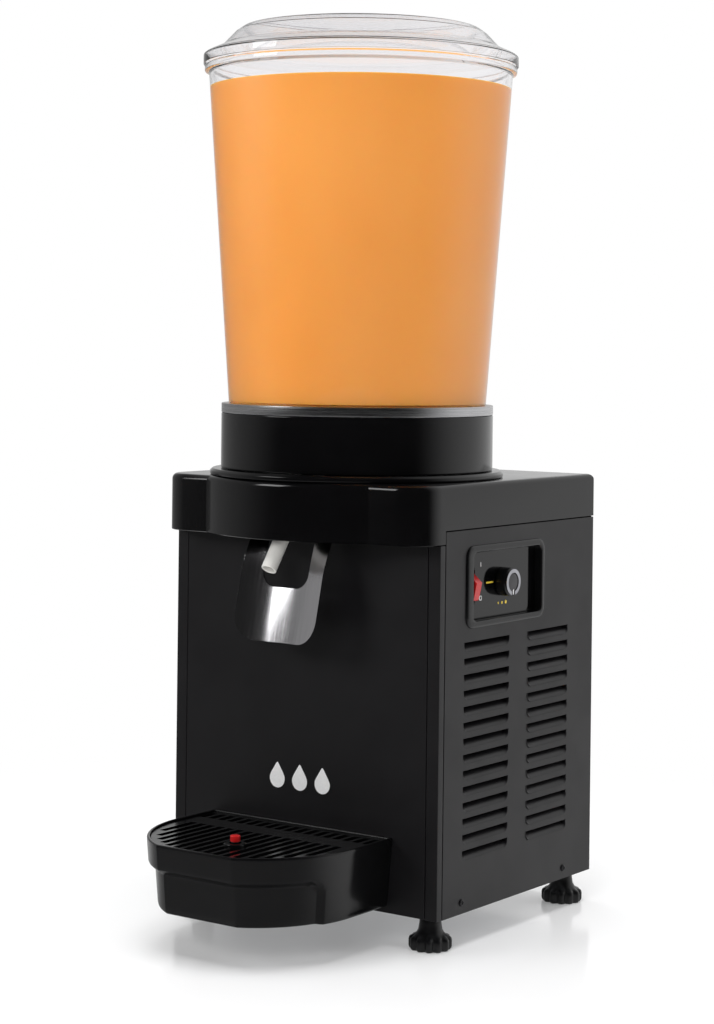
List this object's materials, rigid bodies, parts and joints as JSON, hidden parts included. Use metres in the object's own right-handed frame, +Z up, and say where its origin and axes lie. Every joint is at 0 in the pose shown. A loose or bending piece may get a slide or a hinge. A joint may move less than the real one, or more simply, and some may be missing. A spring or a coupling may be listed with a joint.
{
  "type": "chilled drink dispenser",
  "caption": "Countertop chilled drink dispenser: black casing with louvred sides, clear tapered bowl with lid, push lever, drip tray with grille, side control panel.",
  "frame": {"origin": "on the surface the feet stand on, on the casing's middle plane and midway between the drip tray's front and the rear gland; the control knob makes the box about 4 mm wider on the +X side, so the box's own centre is 2 mm from the origin in X", "axes": "+Z up, -Y towards the drip tray (the front), +X towards the control side; the bowl's axis is vertical at X 0, Y 0.0196"},
  "size_m": [0.2873, 0.3959, 0.775],
  "materials": {
    "casing": "fine satin black powder coat",
    "crown_gloss": "glossy black moulding",
    "black_plastic": "satin black moulding",
    "fascia": "mirror-gloss black plate",
    "rubber": "black rubber",
    "clear": "clear polycarbonate, represented as glass",
    "silicone": "white food-grade silicone",
    "white_plastic": "white moulding",
    "foam": "rigid insulation foam",
    "red_plastic": "red moulding",
    "stainless": "brushed stainless steel",
    "polished": "polished stainless steel",
    "galvanised": "galvanised sheet",
    "iron": "dark painted or blackened iron and ferrite",
    "copper": "bare copper pipe",
    "silver": "bright silver trim"
  },
  "bodies": {
    "casing": {"agitator_motor": "iron", "base_pan": "galvanised", "cable_gland": "rubber", "capillary_line": "copper", "collar_drum": "black_plastic", "collar_flange": "rubber", "compressor": "black_plastic", "condenser": "iron", "control_bezel": "black_plastic", "control_fascia": "fascia", "crown": "crown_gloss", "discharge_line": "copper", "dispensing_tube": "silicone", "evaporator_coil": "copper", "evaporator_dish": "stainless", "fan_motor": "iron", "fan_motor_stand": "galvanised", "fan_shroud": "black_plastic", "filter_drier": "copper", "front_panel": "casing", "front_post_left": "casing", "front_post_right": "casing", "insulation_ring": "foam", "lever_bracket": "galvanised", "lever_pin": "stainless", "motor_bracket": "galvanised", "outlet_pipe": "stainless", "rear_panel": "casing", "return_spring": "stainless", "screw_back_left": "iron", "screw_back_right": "iron", "screw_left_front": "iron", "screw_left_rear": "iron", "screw_right_front": "iron", "screw_right_rear": "iron", "side_panel_left": "casing", "side_panel_right": "casing", "spindle": "stainless", "suction_line": "copper", "switch_body": "black_plastic", "terminal_block": "white_plastic", "thermostat": "iron", "tray_support": "galvanised"},
    "bowl": {"bowl": "clear", "bowl_seal": "silicone"},
    "lid": {"lid": "clear"},
    "drive_rotor": {"drive_magnet": "iron"},
    "impeller": {"impeller": "white_plastic"},
    "lever": {"lever": "polished"},
    "drip_tray": {"drip_tray": "black_plastic"},
    "grille": {"tray_grille": "black_plastic"},
    "tray_float": {"float_indicator": "red_plastic"},
    "knob": {"knob": "black_plastic", "knob_ring": "silver"},
    "rocker": {"switch_rocker": "red_plastic"},
    "fan": {"fan_blade": "white_plastic"},
    "foot_front_left": {"foot_front_left": "rubber"},
    "foot_front_right": {"foot_front_right": "rubber"},
    "foot_rear_left": {"foot_rear_left": "rubber"},
    "foot_rear_right": {"foot_rear_right": "rubber"}
  },
  "joints": [
    {"name": "bowl_lift", "type": "slide", "parent": "casing", "child": "bowl", "axis": [0, 0, 1], "range_m": [0, 0.06]},
    {"name": "lid_lift", "type": "slide", "parent": "bowl", "child": "lid", "axis": [0, 0, 1], "range_m": [0, 0.06]},
    {"name": "drive_spin", "type": "hinge", "parent": "casing", "child": "drive_rotor", "pos_m": [0, 0.0196, 0.449], "axis": [0, 0, 1], "continuous": true},
    {"name": "impeller_spin", "type": "hinge", "parent": "casing", "child": "impeller", "pos_m": [0, 0.0196, 0.476], "axis": [0, 0, 1], "continuous": true},
    {"name": "lever_push", "type": "hinge", "parent": "casing", "child": "lever", "pos_m": [0, -0.0619, 0.357], "axis": [1, 0, 0], "range_deg": [0, 14], "stiffness_Nm_per_rad": 0.2, "springref_deg": -22.92},
    {"name": "tray_slide", "type": "slide", "parent": "casing", "child": "drip_tray", "axis": [0, -1, 0], "range_m": [0, 0.06]},
    {"name": "grille_lift", "type": "slide", "parent": "drip_tray", "child": "grille", "axis": [0, 0, 1], "range_m": [0, 0.03]},
    {"name": "float_rise", "type": "slide", "parent": "drip_tray", "child": "tray_float", "axis": [0, 0, 1], "range_m": [0, 0.008]},
    {"name": "knob_turn", "type": "hinge", "parent": "casing", "child": "knob", "pos_m": [0.14, 0.0476, 0.298], "axis": [-1, 0, 0], "range_deg": [0, 270]},
    {"name": "switch_rock", "type": "hinge", "parent": "casing", "child": "rocker", "pos_m": [0.1312, -0.0002, 0.297], "axis": [0, 1, 0], "range_deg": [0, 36]},
    {"name": "fan_spin", "type": "hinge", "parent": "casing", "child": "fan", "pos_m": [0.0875, 0.0666, 0.152], "axis": [1, 0, 0], "continuous": true},
    {"name": "foot_turn_front_left", "type": "hinge", "parent": "casing", "child": "foot_front_left", "pos_m": [-0.1216, -0.0373, 0.012], "axis": [0, 0, 1], "continuous": true},
    {"name": "foot_turn_front_right", "type": "hinge", "parent": "casing", "child": "foot_front_right", "pos_m": [0.1216, -0.0373, 0.012], "axis": [0, 0, 1], "continuous": true},
    {"name": "foot_turn_rear_left", "type": "hinge", "parent": "casing", "child": "foot_rear_left", "pos_m": [-0.1216, 0.1739, 0.012], "axis": [0, 0, 1], "continuous": true},
    {"name": "foot_turn_rear_right", "type": "hinge", "parent": "casing", "child": "foot_rear_right", "pos_m": [0.1216, 0.1739, 0.012], "axis": [0, 0, 1], "continuous": true}
  ],
  "couplings": [
    {"joint": "impeller_spin", "follows": "drive_spin", "ratio": 1}
  ]
}
